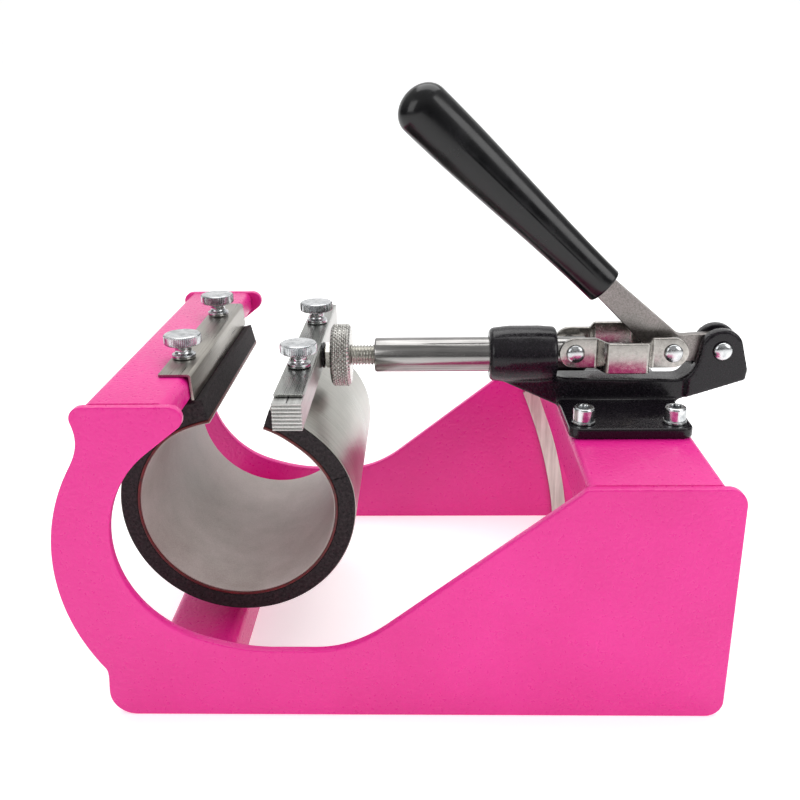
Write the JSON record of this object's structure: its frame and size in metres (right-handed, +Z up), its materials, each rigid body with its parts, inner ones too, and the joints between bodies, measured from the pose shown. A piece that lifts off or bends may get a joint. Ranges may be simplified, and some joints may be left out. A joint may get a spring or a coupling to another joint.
{
  "type": "mug heat press",
  "caption": "Benchtop mug heat press: a painted cradle holds a C-shaped flexible heater that a push-pull toggle clamp closes round a mug.",
  "frame": {"origin": "middle of the whole press's box in plan, on the surface that its two side plates stand on", "axes": "+X from the heater towards the clamp, +Y away from the user, +Z up"},
  "size_m": [0.3048, 0.191, 0.2575],
  "materials": {
    "pink_paint": "orange-peel powder coat, semi-gloss",
    "stainless": "brushed along the sheet",
    "chrome": "bright plated",
    "zinc_steel": "zinc plated, turned",
    "black_enamel": "gloss enamel over cast grain",
    "black_vinyl": "dipped vinyl, glossy",
    "grey_mat": "satin heat-resistant silicone mat",
    "red_silicone": "thin silicone sheet",
    "charcoal_foam": "open-cell silicone sponge",
    "aluminium": "sawn and brushed bar"
  },
  "bodies": {
    "frame": {"front_side_plate": "pink_paint", "rear_side_plate": "pink_paint", "top_crossbar": "pink_paint", "lower_crossbar": "pink_paint", "clamp_platform": "pink_paint", "rear_guard_strip": "stainless", "heater_bracket": "stainless", "crossbar_front_weld_nut": "zinc_steel", "crossbar_rear_weld_nut": "zinc_steel", "inner_mat_fixed": "grey_mat", "heating_layer_fixed": "red_silicone", "foam_pad_fixed": "charcoal_foam", "outer_band_fixed": "stainless", "clamp_body": "black_enamel", "pivot_pin": "chrome", "front_left_flange_screw": "chrome", "front_left_flange_washer": "chrome", "front_left_flange_nut": "zinc_steel", "front_right_flange_screw": "chrome", "front_right_flange_washer": "chrome", "front_right_flange_nut": "zinc_steel", "rear_left_flange_screw": "chrome", "rear_left_flange_washer": "chrome", "rear_left_flange_nut": "zinc_steel", "rear_right_flange_screw": "chrome", "rear_right_flange_washer": "chrome", "rear_right_flange_nut": "zinc_steel"},
    "handle": {"handle_lever": "stainless", "handle_grip": "black_vinyl", "link_pin": "zinc_steel"},
    "plunger": {"plunger": "stainless", "plunger_pin": "chrome"},
    "links": {"front_link": "stainless", "rear_link": "stainless", "front_link_rivet": "chrome", "rear_link_rivet": "chrome"},
    "jaw": {"jaw_bar": "aluminium", "jaw_cover_plate": "stainless", "jaw_washer": "black_enamel", "inner_mat_loose": "grey_mat", "heating_layer_loose": "red_silicone", "foam_pad_loose": "charcoal_foam", "outer_band_loose": "stainless"},
    "spindle": {"spindle": "zinc_steel", "knurled_wheel": "stainless"},
    "bracket_front_thumb": {"bracket_front_thumb_screw": "chrome"},
    "bracket_rear_thumb": {"bracket_rear_thumb_screw": "chrome"},
    "jaw_front_thumb": {"jaw_front_thumb_screw": "chrome"},
    "jaw_rear_thumb": {"jaw_rear_thumb_screw": "chrome"}
  },
  "joints": [
    {"name": "handle_swing", "type": "hinge", "parent": "frame", "child": "handle", "pos_m": [0.1398, 0, 0.137], "axis": [0, 1, 0], "range_deg": [0, 110]},
    {"name": "plunger_slide", "type": "slide", "parent": "frame", "child": "plunger", "axis": [1, 0, 0], "range_m": [0, 0.0373]},
    {"name": "link_swing", "type": "hinge", "parent": "plunger", "child": "links", "pos_m": [0.071, 0, 0.137], "axis": [0, -1, 0], "range_deg": [0, 29.2]},
    {"name": "jaw_adjust", "type": "slide", "parent": "plunger", "child": "jaw", "axis": [1, 0, 0], "range_m": [0, 0.008]},
    {"name": "spindle_turn", "type": "hinge", "parent": "jaw", "child": "spindle", "pos_m": [-0.0324, 0, 0.1338], "axis": [1, 0, 0], "range_deg": [0, 1920.2]},
    {"name": "bracket_front_thumb_turn", "type": "hinge", "parent": "frame", "child": "bracket_front_thumb", "pos_m": [-0.1054, -0.0365, 0.145], "axis": [0, 0, 1], "continuous": true},
    {"name": "bracket_rear_thumb_turn", "type": "hinge", "parent": "frame", "child": "bracket_rear_thumb", "pos_m": [-0.1054, 0.0365, 0.145], "axis": [0, 0, 1], "continuous": true},
    {"name": "jaw_front_thumb_turn", "type": "hinge", "parent": "jaw", "child": "jaw_front_thumb", "pos_m": [-0.0546, -0.0365, 0.145], "axis": [0, 0, 1], "continuous": true},
    {"name": "jaw_rear_thumb_turn", "type": "hinge", "parent": "jaw", "child": "jaw_rear_thumb", "pos_m": [-0.0546, 0.0365, 0.145], "axis": [0, 0, 1], "continuous": true}
  ],
  "couplings": [
    {"joint": "plunger_slide", "follows": "handle_swing", "m_per_rad": 0.01942},
    {"joint": "link_swing", "follows": "handle_swing", "ratio": 0.26523},
    {"joint": "spindle_turn", "follows": "jaw_adjust", "rad_per_m": 4188.8}
  ]
}
